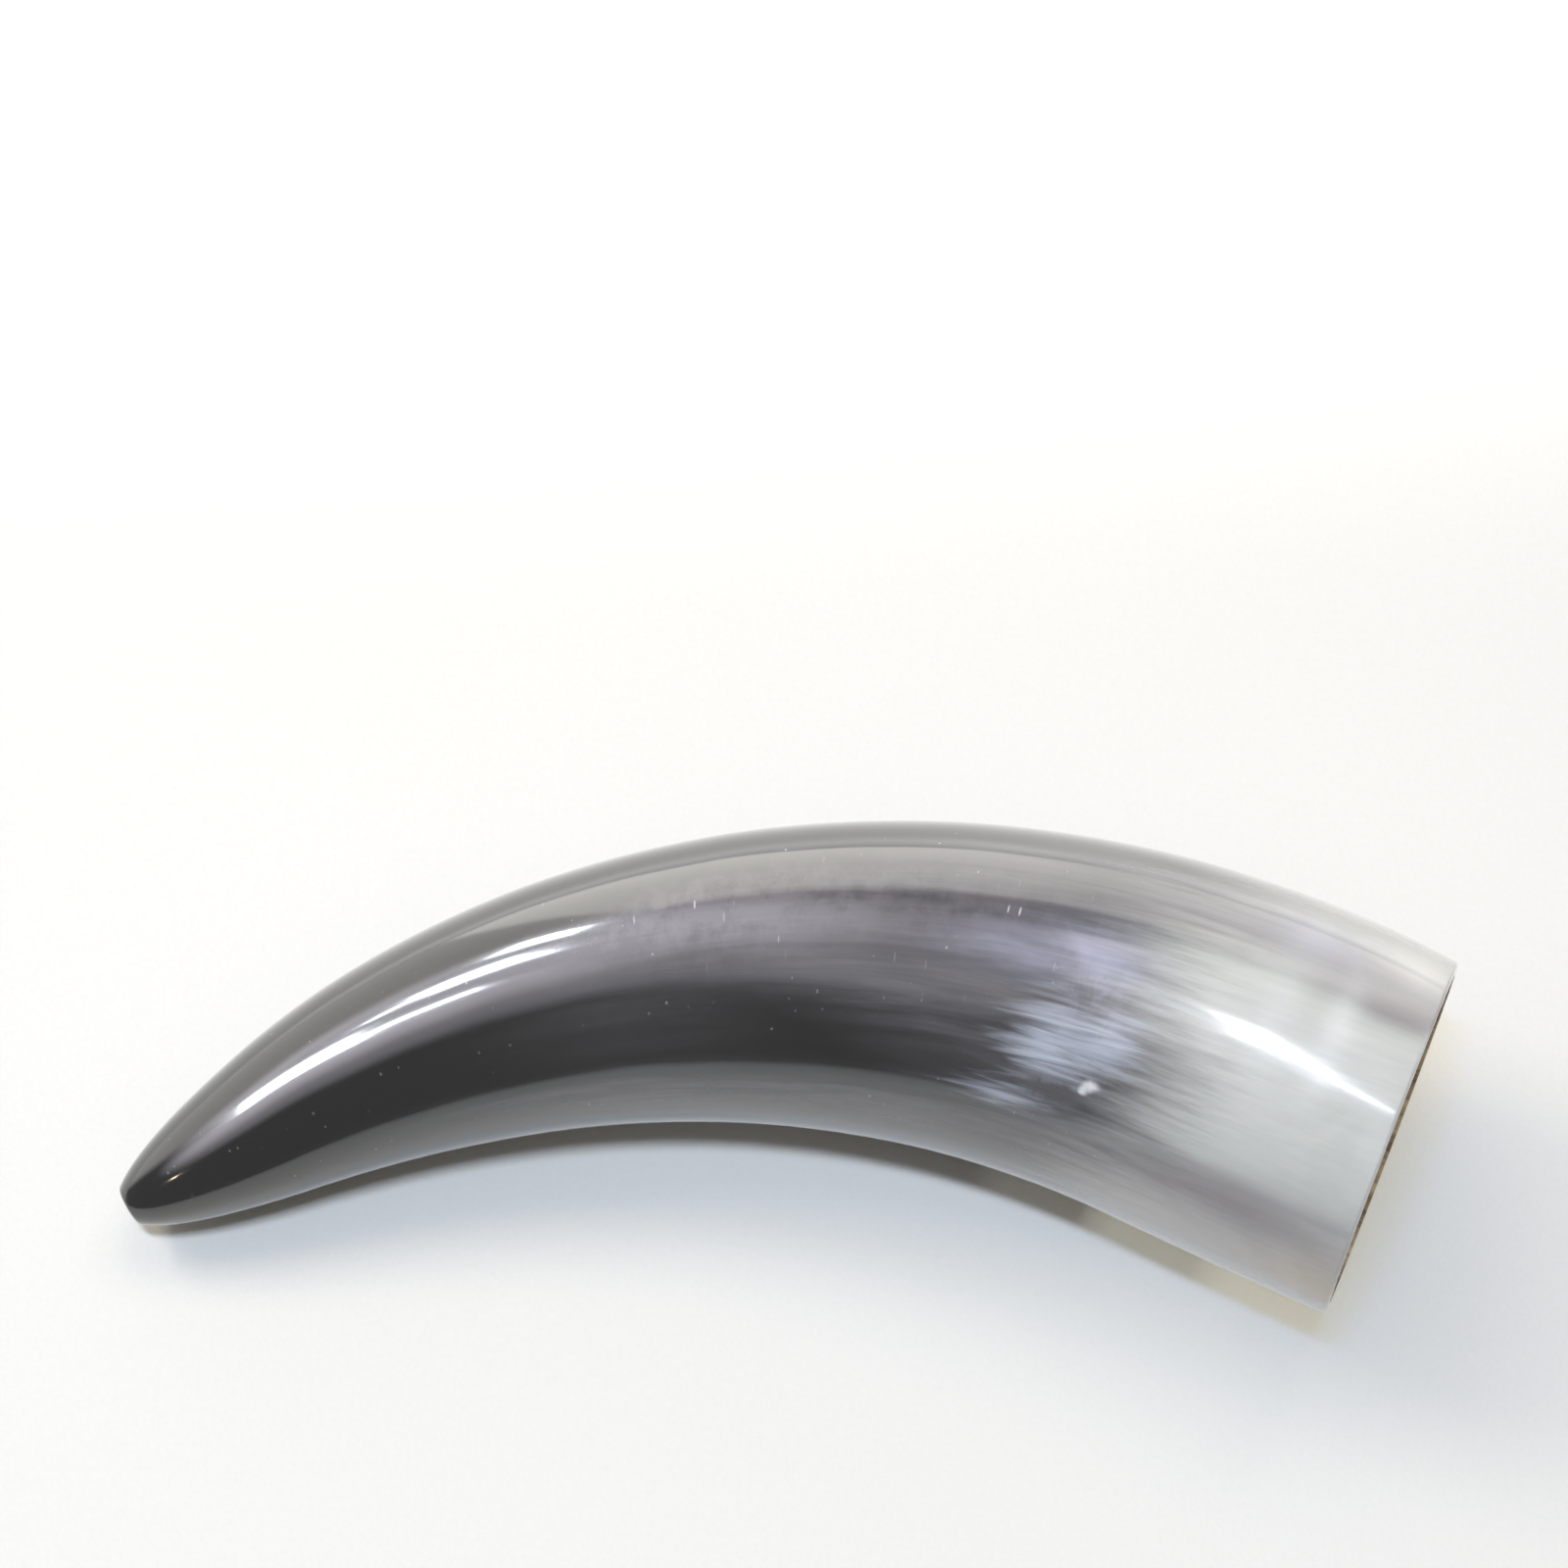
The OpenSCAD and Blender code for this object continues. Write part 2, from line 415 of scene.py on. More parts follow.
def cone_grids(number):
    """Growth cone: its lap under the cone in front, its skin, and the seat for the next one."""
    front = FIRST_LAP + LAP * (number - 1)
    back = front + LAP
    seat = steps(back, front, HIDDEN_STEP)
    return [lap_grid(front), skin_grid(back, back + LAP), backwards(lap_grid(back)),
            ring_grid(seat, lining_outside(seat))]


def notched(radius_at):
    """Where the front edge of the first cone starts on a surface, beside the drilled hole."""
    def is_clear(s):
        point = horn_point(s, radius_at(s))
        return np.hypot(point[:, 1], point[:, 2]) > HOLE_RADIUS
    low = 0 * AROUND + FIRST_LAP
    return np.where(is_clear(low), low, halved(low, low + 10 * MM, is_clear))


def first_cone_grids():
    """The first cone, whose front edge the drill nicks."""
    def lap(s):
        return lap_radius(s, FIRST_LAP)
    t = np.linspace(0, 1, 11)[:, None]
    back = FIRST_LAP + LAP
    lap_s = notched(lap) * (1 - t) + back * t
    seat_s = notched(lining_outside) * t + back * (1 - t)
    front = Grid(horn_point(lap_s, lap(lap_s)), lap_s)
    seat = Grid(horn_point(seat_s, lining_outside(seat_s)), seat_s)
    nick = Grid(np.stack([seat.points[-1], front.points[0]]), np.stack([seat_s[-1], lap_s[0]]))
    return [front, skin_grid(back, back + LAP), backwards(lap_grid(back)), seat, nick]


def bell_grids():
    """The last cone: it ends at the bell in a rounded edge and a narrow flat face."""
    front = LENGTH - 2 * LAP
    skin = skin_grid(front + LAP, LENGTH - RIM_ROUND, tail=False)
    rim_start = (LENGTH - RIM_ROUND, outside(np.array(LENGTH - RIM_ROUND)))
    rim = rounded(rim_start, (LENGTH, BELL_RADIUS), (LENGTH, BELL_RADIUS - RIM_ROUND))
    rim = np.concatenate([rim, [(LENGTH, BELL_RADIUS - RIM_WALL + LINING_WALL)]])
    seat = steps(LENGTH, front, HIDDEN_STEP)
    return [lap_grid(front), seam_joined(skin, ring_grid(rim[:, 0], rim[:, 1])),
            ring_grid(seat, lining_outside(seat))]


def seam_joined(skin, end):
    """The skin with the rim after it, and the skin's own normals at the seam before it."""
    whole = joined(skin, end)
    whole.normals[0] = skin.normals[0]
    return whole


def lining_grids():
    """The thin lining: outside, rim, scraped inside, and the hole through its nose."""
    outer = steps(PATCH_EDGE, LENGTH, HIDDEN_STEP)
    bore_radius = BELL_RADIUS - RIM_WALL
    round_end = LENGTH - LINING_ROUND
    edge = rounded((LENGTH, bore_radius + 0.75 * LINING_ROUND), (LENGTH, bore_radius),
                   (round_end, lining_inside(np.array(round_end))))
    edge = np.concatenate([[(LENGTH, bore_radius + LINING_WALL)], edge])
    inner = steps(round_end, PATCH_EDGE, LINING_STEP)
    inner_grid = joined(ring_grid(edge[:, 0], edge[:, 1]), ring_grid(inner, lining_inside(inner)),
                        nose_patch(lining_inside))
    outer_grid = joined(backwards(nose_patch(lining_outside)), ring_grid(outer, lining_outside(outer)))
    wall = straight_grid(hole_edge(lining_inside), hole_edge(lining_outside), 3)
    return [outer_grid, inner_grid, wall]


# ---- What the skin shows where: soft masks and a broad colour, kept on the mesh's points ----

DARK = (0.006, 0.006, 0.0065)
# The grey layer's colour, also used for the painted floor reflection on the near flank.
GREY_SMOKE_AND_REFLECTION = (0.085, 0.082, 0.088)
# The scratched band's grey, partly painted sheen of the overhead light.
HAZE_SHEEN = (0.105, 0.096, 0.108)
LILAC = (0.38, 0.38, 0.48)
CLOUD = (0.46, 0.49, 0.57)
PEARL = (0.50, 0.505, 0.48)
FLANK = (0.32, 0.30, 0.295)
ASHEN = (0.17, 0.165, 0.175)
MAUVE = (0.15, 0.125, 0.135)
TAN = (0.46, 0.36, 0.25)
# Painted glow at the rim's far edge, light through the thin wall.
RIM_GLOW = (0.80, 0.77, 0.70)
# The white of the bead in the dark gap, and the painted glow round the overhead highlight.
MILKY_AND_GLOW = (0.72, 0.72, 0.72)
BROWN = (0.16, 0.10, 0.065)
BLOTCH = (0.55, 0.58, 0.56)
SPECK = (0.26, 0.26, 0.26)
SCRATCH = (0.45, 0.43, 0.47)
LINING_TAN = (0.42, 0.33, 0.21)
LINING_STREAK = (0.10, 0.06, 0.035)
PAPER_DARK = (0.675, 0.66, 0.625)
PAPER_LIGHT = (0.725, 0.71, 0.67)

TOP = 100        # degrees around: the side that faces up and towards the camera

# Stains in the pale skin, and painted glows (the cream row at the rim's far edge, the milky rows round
# the overhead highlight): s and degrees around of the middle, half length in mm, half width in degrees,
# colour, strength
STAINS = [
    (226, 52, 7, 7, LILAC, 0.5),
    (246, 68, 15, 6, MAUVE, 0.8),
    (226, 142, 24, 9, MAUVE, 0.8),
    (247, 163, 10, 12, TAN, 0.6),
    # Painted glow, not a stain: light through the thin wall at the rim's far edge.
    (246, 44, 9, 14, RIM_GLOW, 0.5),
    # Painted glow, not stains: the next two rows brighten the skin round the overhead highlight.
    (224, 87, 4, 14, MILKY_AND_GLOW, 0.4),
    (235, 84, 3, 16, MILKY_AND_GLOW, 0.5),
]

# Soft spots where the dark horn ends: s and degrees around of the middle, half length in mm, half
# width in degrees, strength. The bead's strength is below 0, because it is white in the dark gap
CLOUD_FANS = [(187, 115, 9, 15, 1.0), (180, 136, 10, 5, 0.7), (199, 109, 7, 9, 0.8)]
LILAC_RINGS = [(194, 100, 6, 24, 1.0)]
LILAC_TINGE = [(185, 85, 15, 8, 1.0)]
GAP_AND_BEAD = [(190, 129.5, 6.5, 4, 1.0), (195.8, 126.3, 1.3, 1.8, -1.0),
                (197.3, 123.6, 1.5, 1.7, -1.0)]

# Where the pale skin starts, in mm along the horn: the middle, how much later it is at 140 degrees
# around, and the length of the change from dark to pale. It starts earlier at some degrees around,
# each with its half width and how many mm earlier
PALE_START, PALE_SKEW, PALE_SPAN = 184, 6, 36
EARLY_PALE = ((86, 11, 7), (166, 14, 14))


def soft_step(value, low, high):
    t = np.clip((value - low) / (high - low), 0, 1)
    return t * t * (3 - 2 * t)


def degrees_from(around, middle):
    return (np.degrees(around) - middle + 180) % 360 - 180


def spot(s, around, at, middle, length, width):
    """A soft spot, 1 in the middle: lengths in mm and angles in degrees."""
    return np.exp(-((s / MM - at) / length) ** 2 - (degrees_from(around, middle) / width) ** 2)


def blend(colour, other, share):
    return colour * (1 - share[:, None]) + np.array(other) * share[:, None]


def pale_colour_and_glow(s, around):
    """The pearly skin near the bell: greyer on its flanks, brown beneath, and stained, with painted glow
    of light through the thin wall at the far edge near the rim and round the overhead highlight.
    """
    off_top = degrees_from(around, TOP)
    colour = np.zeros((len(s), 3)) + np.array(PEARL)
    colour = blend(colour, FLANK, 0.8 * soft_step(off_top, 28, 50))
    # Painted glow: the far edge near the rim is kept lighter, as if lit through the thin wall.
    far_edge_glow = soft_step(-off_top, 46, 60) * soft_step(s / MM, 195, 232)
    colour = blend(colour, ASHEN, 0.92 * soft_step(-off_top, 24, 42) * (1 - 0.75 * far_edge_glow))
    colour = blend(colour, BROWN, soft_step(np.abs(off_top), 76, 150))
    for middle, degrees, length, width, tint, strength in STAINS:
        colour = blend(colour, tint, strength * spot(s, around, middle, degrees, length, width))
    return colour


def reach_mask(s, around):
    """0 where the pearl starts, 1 where nothing dark is left."""
    start = PALE_START + PALE_SKEW * np.cos(around - math.radians(140))
    for degrees, width, earlier in EARLY_PALE:
        start = start - earlier * np.exp(-(degrees_from(around, degrees) / width) ** 2)
    return (s / MM - start) / PALE_SPAN


def smoke_and_reflection_mask(s, around):
    """Where the black horn lets a grey layer show, on top from the middle on. On the near flank the same
    grey is painted reflection of the lit floor.
    """
    at = s / MM
    off_top = degrees_from(around, TOP)
    start = 145 - 45 * np.exp(-((off_top + 8) / 24) ** 2)
    # Painted reflection: the near flank is lightened as if it mirrored the lit floor.
    flank_reflection = (0.95 * soft_step(at, 20, 110) * soft_step(off_top, 32, 52)
                  * (1 - soft_step(off_top, 140, 175)))
    patch = 0.3 * spot(s, around, 105, 112, 24, 26)
    return np.maximum(soft_step(at, start, start + 45), flank_reflection) + patch


def haze_sheen_mask(s, around):
    """The finely scratched band along the top of the middle. Its grey is partly painted sheen: the
    overhead light's highlight, spread by the scratches.
    """
    along = soft_step(s / MM, 80, 125) * (1 - soft_step(s / MM, 170, 200))
    return along * np.exp(-(degrees_from(around, 78) / 17) ** 2)


def spots(s, around, rows):
    return sum(strength * spot(s, around, *place) for *place, strength in rows)


def add_places(mesh, s, around, points):
    """Keeps on each point its place on the straightened horn, and what the skin shows there."""
    radius = np.linalg.norm(points - centre(s), axis=-1)
    straight = np.stack([s, radius * np.cos(around), radius * np.sin(around)], -1)
    fibre = np.stack([s / (400 * MM), np.cos(around), np.sin(around)], -1)
    # tint: the pale skin's colour, with its stains and painted glows.
    tint = np.concatenate([pale_colour_and_glow(s, around), np.ones((len(s), 1))], -1)
    for name, kind, key, values in (
            ("straight", "FLOAT_VECTOR", "vector", straight),
            ("fibre", "FLOAT_VECTOR", "vector", fibre),
            ("tint", "FLOAT_COLOR", "color", tint),
            ("reach", "FLOAT", "value", reach_mask(s, around)),
            ("smoke_and_reflection", "FLOAT", "value", smoke_and_reflection_mask(s, around)),
            ("haze_sheen", "FLOAT", "value", haze_sheen_mask(s, around)),
            ("cloud", "FLOAT", "value", spots(s, around, CLOUD_FANS)),
            ("rings", "FLOAT", "value", spots(s, around, LILAC_RINGS)),
            ("lilac", "FLOAT", "value", spots(s, around, LILAC_TINGE)),
            ("gap", "FLOAT", "value", spots(s, around, GAP_AND_BEAD))):
        layer = mesh.attributes.new(name, kind, "POINT")
        layer.data.foreach_set(key, np.ascontiguousarray(values, dtype=np.float32).ravel())


# ---- Material nodes ----

# How fine the patterns in the skin are, along the horn and across it, for each metre
MOTTLE = (300, 220, 220)
BLOTCHES = (55, 70, 70)
CURLS = (190, 60, 60)
WAVINESS = (40, 70, 70)
SCRAPES = (900, 90, 90)

# Specks and scratches: how fine, stretch along and across, size of a mark, share of cells with one
SPECK_CELLS = (430, (1, 0.75, 0.75), 0.13, 0.7)
SCRATCH_CELLS = (330, (1.7, 0.35, 0.35), 0.14, 0.7)

class Nodes:
    """Short ways to add nodes to a material's or the world's tree."""

    def __init__(self, owner):
        owner.use_nodes = True
        self.tree = owner.node_tree
        self.tree.nodes.clear()

    def add(self, kind, inputs=None, **settings):
        made = self.tree.nodes.new(kind)
        for key, value in settings.items():
            setattr(made, key, value)
        for key, value in (inputs or {}).items():
            self.put(made.inputs[key], value)
        return made

    def put(self, socket, value):
        if isinstance(value, bpy.types.NodeSocket):
            self.tree.links.new(value, socket)
        else:
            socket.default_value = value

    def read(self, name, output="Fac"):
        return self.add("ShaderNodeAttribute", attribute_name=name).outputs[output]

    def scaled(self, vector, scale):
        return self.add("ShaderNodeMapping", {"Vector": vector, "Scale": scale}).outputs[0]

    def noise(self, vector, scale, detail=2.0, roughness=0.5, distortion=0.0):
        return self.add("ShaderNodeTexNoise", {
            "Vector": vector, "Scale": scale, "Detail": detail, "Roughness": roughness,
            "Distortion": distortion}).outputs["Fac"]

    def graded(self, value, low, high, start=0.0, end=1.0):
        return self.add("ShaderNodeMapRange", {
            "Value": value, "From Min": low, "From Max": high, "To Min": start, "To Max": end},
            interpolation_type="SMOOTHSTEP").outputs[0]

    def maths(self, operation, a, b=0.0, clamp=False):
        made = self.add("ShaderNodeMath", operation=operation, use_clamp=clamp)
        self.put(made.inputs[0], a)
        self.put(made.inputs[1], b)
        return made.outputs[0]

    def mixed(self, share, a, b, blend_type="MIX"):
        made = self.add("ShaderNodeMix", data_type="RGBA", blend_type=blend_type)
        for index, value in ((0, share), (6, a), (7, b)):
            self.put(made.inputs[index], value)
        return made.outputs[2]

    def bump(self, height, strength, distance, normal=None):
        made = self.add("ShaderNodeBump", {
            "Height": height, "Strength": strength, "Distance": distance})
        if normal is not None:
            self.put(made.inputs["Normal"], normal)
        return made.outputs[0]

    def surface(self, **inputs):
        shader = self.add("ShaderNodeBsdfPrincipled", inputs)
        output = self.add("ShaderNodeOutputMaterial")
        self.tree.links.new(shader.outputs[0], output.inputs["Surface"])


def grey(value):
    return (value, value, value, 1)


def opaque(colour):
    return (*colour, 1)


def cells(nodes, place, scale, stretch, size, share):
    """Small marks scattered in the skin: one in each chosen cell, as long as stretch asks for."""
    made = nodes.add("ShaderNodeTexVoronoi", {
        "Vector": nodes.scaled(place, stretch), "Scale": scale}, feature="F1")
    mark = nodes.graded(made.outputs["Distance"], size, size * 0.55)
    chosen = nodes.graded(made.outputs["Color"], 1 - share, 1.0)
    return nodes.maths("MULTIPLY", mark, chosen)


def polished_horn(name):
    """Polished keratin: dark to pearly by place, with fibres, a scratched band partly painted with
    sheen, a streaked cloud and specks, and with painted reflection and glow.
    """
    material = bpy.data.materials.new(name)
    nodes = Nodes(material)
    fibre = nodes.read("fibre", "Vector")
    straight = nodes.read("straight", "Vector")
    fine = nodes.noise(fibre, 30, 5, 0.6)
    broad = nodes.noise(fibre, 7, 4, 0.6, 0.5)

    # The grey layer, and on the near flank a painted reflection of the floor.
    smoke_and_reflection = nodes.maths("MULTIPLY", nodes.read("smoke_and_reflection"),
                        nodes.graded(broad, 0.3, 0.65, 0.45, 1.15), True)
    colour = nodes.mixed(smoke_and_reflection, opaque(DARK), opaque(GREY_SMOKE_AND_REFLECTION))
    mottle = nodes.noise(nodes.scaled(straight, MOTTLE), 1.0, 3, 0.6)
    cover = nodes.maths("ADD", nodes.graded(broad, 0.25, 0.7, 0.2, 0.8),
                        nodes.graded(mottle, 0.3, 0.7, -0.1, 0.75))
    # Painted sheen: the overhead highlight spread over the scratched band.
    haze_sheen = nodes.maths("MULTIPLY", nodes.read("haze_sheen"), cover, True)
    colour = nodes.mixed(haze_sheen, colour, opaque(HAZE_SHEEN))

    ragged = nodes.maths("ADD", nodes.graded(fine, 0.25, 0.75, -0.05, 0.05),
                         nodes.graded(broad, 0.25, 0.75, -0.15, 0.15))
    reach = nodes.maths("ADD", nodes.read("reach"), ragged)
    colour = nodes.mixed(nodes.graded(reach, 0.0, 1.0), colour, nodes.read("tint", "Color"))

    blotches = nodes.noise(nodes.scaled(straight, BLOTCHES), 1.0, 3, 0.5, 0.6)
    colour = nodes.mixed(nodes.graded(blotches, 0.35, 0.7, 0.0, 0.22), colour, nodes.mixed(
        1.0, colour, opaque(BLOTCH), "MULTIPLY"))

    lilac = nodes.maths("MULTIPLY", nodes.read("lilac"),
                        nodes.graded(blotches, 0.25, 0.65, 0.35, 1.0), True)
    colour = nodes.mixed(lilac, colour, opaque(LILAC))
    threads = nodes.noise(fibre, 22, 3, 0.55, 0.6)
    cloud = nodes.maths("ADD", nodes.read("cloud"), nodes.graded(threads, 0.25, 0.75, -0.32, 0.32))
    cloud = nodes.maths("MULTIPLY", nodes.graded(cloud, 0.1, 1.3, 0.0, 0.85),
                        nodes.graded(nodes.read("cloud"), 0.0, 0.25))
    colour = nodes.mixed(cloud, colour, opaque(CLOUD))
    curls = nodes.noise(nodes.scaled(straight, CURLS), 1.0, 3, 0.6, 1.0)
    rings = nodes.maths("MULTIPLY", nodes.read("rings"),
                        nodes.graded(curls, 0.3, 0.75, 0.0, 0.55), True)
    colour = nodes.mixed(rings, colour, opaque(LILAC))
    gap = nodes.maths("MULTIPLY", nodes.read("gap"), nodes.graded(curls, 0.3, 0.7, 0.7, 1.3))
    colour = nodes.mixed(nodes.graded(gap, 0.0, 0.7, 0.0, 1.0), colour, opaque(GREY_SMOKE_AND_REFLECTION))
    colour = nodes.mixed(nodes.graded(gap, -0.05, -0.85, 0.0, 0.9), colour, opaque(MILKY_AND_GLOW))

    grain = nodes.mixed(nodes.graded(reach, 0.2, 1.2), grey(0.88), grey(0.975))
    colour = nodes.mixed(1.0, colour, nodes.mixed(nodes.graded(fine, 0.3, 0.7), grain, grey(1.04)),
                         "MULTIPLY")
    specks = cells(nodes, straight, *SPECK_CELLS)
    specks = nodes.maths("MULTIPLY", specks, nodes.graded(reach, 0.9, 0.2))
    specks = nodes.maths("MULTIPLY", specks, nodes.graded(broad, 0.4, 0.6))
    colour = nodes.mixed(specks, colour, opaque(SPECK))
    scratches = cells(nodes, straight, *SCRATCH_CELLS)
    scratches = nodes.maths("MULTIPLY", scratches, nodes.read("haze_sheen"), True)
    colour = nodes.mixed(scratches, colour, opaque(SCRATCH))

    waviness = nodes.noise(nodes.scaled(straight, WAVINESS), 1.0, 2, 0.4)
    normal = nodes.bump(waviness, 0.12, 0.4 * MM)
    normal = nodes.bump(fine, 0.05, 0.05 * MM, normal)
    nodes.surface(**{
        "Base Color": colour, "Roughness": nodes.graded(fine, 0.2, 0.8, 0.09, 0.17),
        "IOR": 1.6, "Coat Weight": 1.0, "Coat Roughness": 0.06, "Coat IOR": 1.6,
        "Normal": normal, "Coat Normal": normal})
    return material


def scraped_lining(name):
    """The inside of the horn: satin, tan, with brown streaks along it and fine scrape marks."""
    material = bpy.data.materials.new(name)
    nodes = Nodes(material)
    fibre = nodes.read("fibre", "Vector")
    straight = nodes.read("straight", "Vector")
    streaks = nodes.noise(fibre, 9, 6, 0.65, 0.3)
    fine = nodes.noise(fibre, 40, 4, 0.6)
    colour = nodes.mixed(nodes.graded(streaks, 0.38, 0.66), opaque(LINING_TAN), opaque(LINING_STREAK))
    colour = nodes.mixed(1.0, colour, nodes.mixed(fine, grey(0.75), grey(1.15)), "MULTIPLY")
    scrapes = nodes.noise(nodes.scaled(straight, SCRAPES), 1.0, 3, 0.6)
    normal = nodes.bump(scrapes, 0.5, 0.1 * MM)
    normal = nodes.bump(fine, 0.4, 0.1 * MM, normal)
    nodes.surface(**{
        "Base Color": colour, "Roughness": nodes.graded(streaks, 0.2, 0.8, 0.34, 0.5),
        "IOR": 1.5, "Normal": normal})
    return material


def paper_floor(name):
    """Pale paper that glows behind the horn, as a lit backdrop does."""
    material = bpy.data.materials.new(name)
    nodes = Nodes(material)
    place = nodes.add("ShaderNodeTexCoord").outputs["Object"]
    grain = nodes.noise(place, 900, 3, 0.6)
    patches = nodes.noise(place, 14, 3, 0.5)
    colour = nodes.mixed(grain, opaque(PAPER_DARK), opaque(PAPER_LIGHT))
    colour = nodes.mixed(nodes.graded(patches, 0.3, 0.7, 0.0, 0.06), colour, grey(0.7))
    back = nodes.add("ShaderNodeSeparateXYZ", {"Vector": place}).outputs["Y"]
    nodes.surface(**{
        "Base Color": colour, "Roughness": 0.65, "Normal": nodes.bump(grain, 0.25, 0.3 * MM),
        "Emission Color": grey(1.0), "Emission Strength": nodes.graded(back, 0.1, 0.4, 0.0, FLOOR_GLOW)})
    return material


# ---- Building the pieces ----

def add_object(name, mesh, material):
    piece = bpy.data.objects.new(name, mesh)
    mesh.materials.append(material)
    bpy.context.scene.collection.objects.link(piece)
    return piece


# The three shares of the overhead light that go through pale horn: how many of them a piece lets
# through, the first ones first. Pieces that are not named here let none through.
SHARES_THROUGH = {"cloudy_cone": 1, "pearl_cone": 2, "bell_cone": 3, "inner_lining": 3}
SHARE_RADIANCES = (20, 65, 58)


def build_pieces():
    """Builds every piece, and returns for each share of the overhead light what blocks it."""
    slots = ("black_horn", "dark_horn", "cloudy_horn", "pearl_horn")
    looks = {slot: polished_horn(slot) for slot in slots}
    looks["lining_horn"] = scraped_lining("lining_horn")
    blockers = [bpy.data.collections.new(f"shade_group_{n}") for n in range(len(SHARE_RADIANCES))]
    plan = [("mouthpiece_tip", tip_grids(), "black_horn"),
            ("dark_cone_1", first_cone_grids(), "dark_horn"),
            ("dark_cone_2", cone_grids(2), "dark_horn"),
            ("dark_cone_3", cone_grids(3), "dark_horn"),
            ("cloudy_cone", cone_grids(4), "cloudy_horn"),
            ("pearl_cone", cone_grids(5), "pearl_horn"),
            ("bell_cone", bell_grids(), "pearl_horn"),
            ("inner_lining", lining_grids(), "lining_horn")]
    for node, grids, slot in plan:
        mesh = closed_mesh(node + "_horn", grids, drop_repeats=node == "dark_cone_1")
        piece = add_object(node + "_horn", mesh, looks[slot])
        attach(piece, "root")
        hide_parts(node)
        for group in blockers[SHARES_THROUGH.get(node, 0):]:
            group.objects.link(piece)
    return blockers


# ---- Stage: floor, lamps, world and camera ----

FLOOR_SIZE = 8.0
FLOOR_GLOW = 0.85
CAMERA_ELEVATION = math.radians(66)
CAMERA_DISTANCE = 0.700
CAMERA_TARGET = Vector((0.0002, 0.0706, 0.0))
CAMERA_LENS = 79.7

# How bright the parts of the world are. DIMMED is the share of it that lights the horn and the floor
CEILING = 0.27
BACKDROP = 1.3
LAMP_GLOW = 2.6
DIMMED = 0.2
EVEN_LIGHT = 0.08
PAST_FLOOR = 0.95        # what the camera sees past the floor's edge
WARM_WHITE = (1.0, 0.95, 0.86)

# Lamps, each a rectangle: name, the point it is placed from, the directions of its two ends
# (azimuth and elevation in degrees), width, radiance, colour and distance
LAMP_DISTANCE = 1.5
MIDDLE = Vector((0, 0, 0))
TIP_PLACE = Vector((-0.06, 0.0, 0.04))
BELL_PLACE = Vector((0.09, -0.01, 0.07))
COOL = (0.86, 0.92, 1.0)

# These only show, as highlights in the polish
HIGHLIGHTS = [
    ("tube_a", TIP_PLACE, (175, 41.5), (166, 50.5), 0.32, 20, COOL, LAMP_DISTANCE),
    ("tube_b", TIP_PLACE, (170, 51), (162.5, 57.5), 0.09, 22, COOL, LAMP_DISTANCE),
    ("tube_c", TIP_PLACE, (148, 45), (139, 48.5), 0.20, 22, COOL, LAMP_DISTANCE),
    ("tube_d", TIP_PLACE, (154, 44), (148, 45), 0.05, 22, COOL, LAMP_DISTANCE),
    ("tube_e", TIP_PLACE, (131.5, 37), (127.5, 41.5), 0.13, 22, COOL, LAMP_DISTANCE),
    ("overhead_a", BELL_PLACE, (169, 81), (128, 76.5), 0.10, 25, COOL, LAMP_DISTANCE),
    ("overhead_b", BELL_PLACE, (152, 79), (-141, 82), 0.03, 25, COOL, LAMP_DISTANCE),
    ("overhead_c", BELL_PLACE, (174, 80.5), (160, 80), 0.15, 25, COOL, LAMP_DISTANCE),
    ("overhead_d", BELL_PLACE, (-131, 82), (-126, 82), 0.04, 25, COOL, LAMP_DISTANCE),
    ("glint", TIP_PLACE, (-142, 33), (-140, 33), 0.05, 25, (1.0, 0.85, 0.6), LAMP_DISTANCE),
]

# These only light. The overhead light is the key lamp and the shares that go through pale horn
OVERHEAD = (MIDDLE, (-160, 80), (-80, 80), 0.08)
KEY_RADIANCE = 93
KEY_COLOUR = (0.16, 0.42, 1.0)
SHARE_COLOUR = (1.0, 0.99, 0.86)
OTHER_LAMPS = [
    ("rear_lamp", MIDDLE, (166, 50), (132, 44), 0.35, 10.4, (1.0, 0.92, 0.76), LAMP_DISTANCE),
    ("sweep_lamp", Vector((0.05, 0, 0)), (50, 56), (130, 56), 0.3, 3.3, (1.0, 0.87, 0.72), 0.75),
    ("fill_panel", MIDDLE, (-90, 40), (-30, 75), 2.0, 0.3, WARM_WHITE, 1.8),
]


def add_floor():
    half = FLOOR_SIZE / 2
    mesh = bpy.data.meshes.new("floor")
    corners = [(-half, -half, 0), (half, -half, 0), (half, half, 0), (-half, half, 0)]
    mesh.from_pydata(corners, [], [(0, 1, 2, 3)])
    floor = add_object("floor", mesh, paper_floor("paper_floor"))


def direction(azimuth, elevation):
    """Azimuth from +X towards +Y, both in degrees."""
    a, e = math.radians(azimuth), math.radians(elevation)
    return Vector((math.cos(a) * math.cos(e), math.sin(a) * math.cos(e), math.sin(e)))


def add_lamp(name, place, first, last, width, radiance, colour, distance):
    """A rectangular lamp whose two ends lie in the directions first and last from a place."""
    first, last = direction(*first), direction(*last)
    towards = (first + last).normalized()
    side = (last - first).normalized()
    turn = Matrix((side, towards.cross(side).normalized(), towards)).transposed()
    data = bpy.data.lights.new(name, "AREA")
    data.shape = "RECTANGLE"
    data.size = (last - first).length * distance
    data.size_y = width
    data.energy = radiance * math.pi * data.size * data.size_y
    data.color = colour
    lamp = bpy.data.objects.new(name, data)
    lamp.matrix_world = Matrix.Translation(place + towards * distance) @ turn.to_4x4()
    bpy.context.scene.collection.objects.link(lamp)
    return lamp


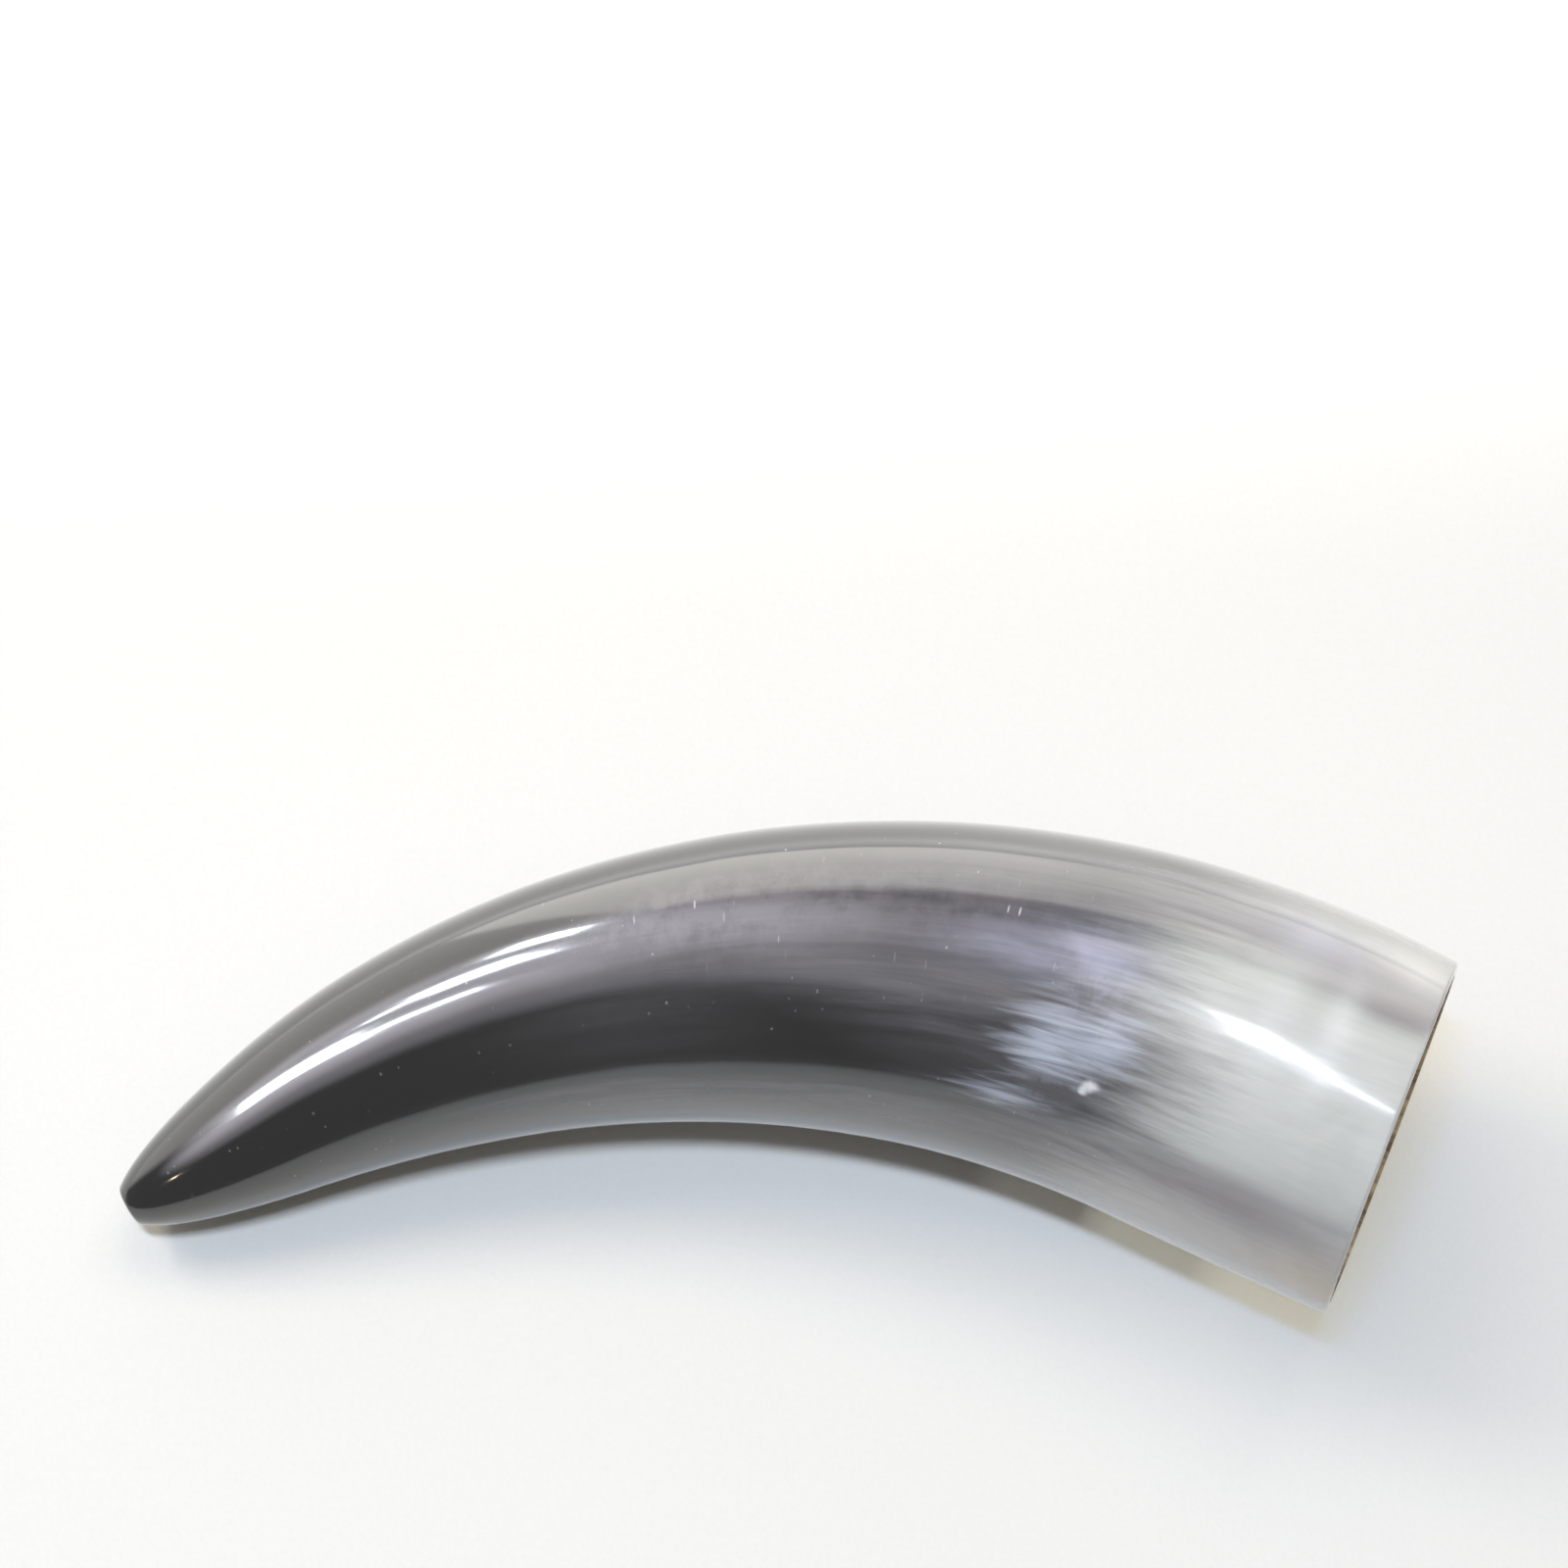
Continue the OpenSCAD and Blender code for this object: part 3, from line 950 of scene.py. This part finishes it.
def add_lamps(blockers):
    """The paler the horn, the more shares of the overhead light it lets through."""
    for row in HIGHLIGHTS:
        add_lamp(*row).visible_diffuse = False
    lit = [add_lamp("key_lamp", *OVERHEAD, KEY_RADIANCE, KEY_COLOUR, LAMP_DISTANCE)]
    for number, (group, radiance) in enumerate(zip(blockers, SHARE_RADIANCES)):
        share = add_lamp(f"key_share_{number}", *OVERHEAD, radiance, SHARE_COLOUR, LAMP_DISTANCE)
        share.light_linking.blocker_collection = group
        lit.append(share)
    lit += [add_lamp(*row) for row in OTHER_LAMPS]
    for lamp in lit:
        lamp.visible_glossy = False


def add_world():
    """A dim ceiling, a paler backdrop, a bright window at its right and a glow near the lamps.

    Only mirror rays see all of it: other rays see it dimmed, and the camera sees an even pale grey.
    """
    world = bpy.data.worlds.new("studio")
    bpy.context.scene.world = world
    nodes = Nodes(world)
    way = nodes.add("ShaderNodeTexCoord").outputs["Generated"]

    def along(azimuth, elevation):
        return nodes.add("ShaderNodeVectorMath", {0: way, 1: direction(azimuth, elevation)},
                         operation="DOT_PRODUCT").outputs["Value"]

    def light(strength, tint):
        made = nodes.add("ShaderNodeVectorMath", {0: tint, "Scale": strength}, operation="SCALE")
        return made.outputs[0]

    def all_of(*masks):
        whole = masks[0]
        for mask in masks[1:]:
            whole = nodes.maths("MULTIPLY", whole, mask)
        return whole

    def squared(axis, reach):
        return nodes.maths("POWER", nodes.maths("DIVIDE", axis, reach), 2)

    backdrop = all_of(nodes.graded(along(90, 0), 0.0, 0.25), nodes.graded(along(0, 90), 0.68, 0.58))
    window = all_of(nodes.graded(along(31, 0), -0.015, 0.015), nodes.graded(along(107, 0), 0.0, 0.1),
                    nodes.graded(along(-73, 50), 0.02, -0.02))
    window_light = nodes.maths("MULTIPLY", window, nodes.graded(along(121, 0), 0.70, 0.95, 0.5, 1.5))
    off_centre = nodes.maths("ADD", squared(along(248, 0), 0.60), squared(along(338, 40), 0.38))
    glow = all_of(nodes.graded(off_centre, 1.0, 0.05), nodes.graded(along(158, 50), 0.0, 0.3))
    glow = nodes.maths("ADD", glow, nodes.graded(along(-165, 52), 0.935, 0.995, 0.0, 0.45))
    colour = light(CEILING, (1.0, 0.98, 0.96))
    for strength, tint in ((nodes.maths("MULTIPLY", backdrop, BACKDROP), (1.0, 0.98, 0.95)),
                           (window_light, (1.0, 0.97, 0.90)),
                           (nodes.maths("MULTIPLY", glow, LAMP_GLOW), (0.94, 0.91, 1.0))):
        colour = nodes.mixed(1.0, colour, light(strength, tint), "ADD")
    path = nodes.add("ShaderNodeLightPath")
    mirrored = path.outputs["Is Glossy Ray"]
    even = nodes.mixed(1.0, light(DIMMED, colour), light(EVEN_LIGHT, WARM_WHITE), "ADD")
    colour = nodes.mixed(mirrored, even, colour)
    colour = nodes.mixed(path.outputs["Is Camera Ray"], colour, grey(PAST_FLOOR))
    emitted = nodes.add("ShaderNodeBackground", {"Color": colour, "Strength": 1.0})
    output = nodes.add("ShaderNodeOutputWorld")
    nodes.tree.links.new(emitted.outputs[0], output.inputs["Surface"])


def add_camera():
    back = Vector((0, -math.cos(CAMERA_ELEVATION), math.sin(CAMERA_ELEVATION)))
    data = bpy.data.cameras.new("camera")
    data.sensor_width = 36
    data.lens = CAMERA_LENS
    camera = bpy.data.objects.new("camera", data)
    camera.location = CAMERA_TARGET + back * CAMERA_DISTANCE
    camera.rotation_mode = "QUATERNION"
    camera.rotation_quaternion = (-back).to_track_quat("-Z", "Y")
    bpy.context.scene.collection.objects.link(camera)
    bpy.context.scene.camera = camera


add_camera()
overhead_blockers = build_pieces()
add_floor()
add_world()
add_lamps(overhead_blockers)
bpy.context.scene.view_settings.view_transform = "Standard"
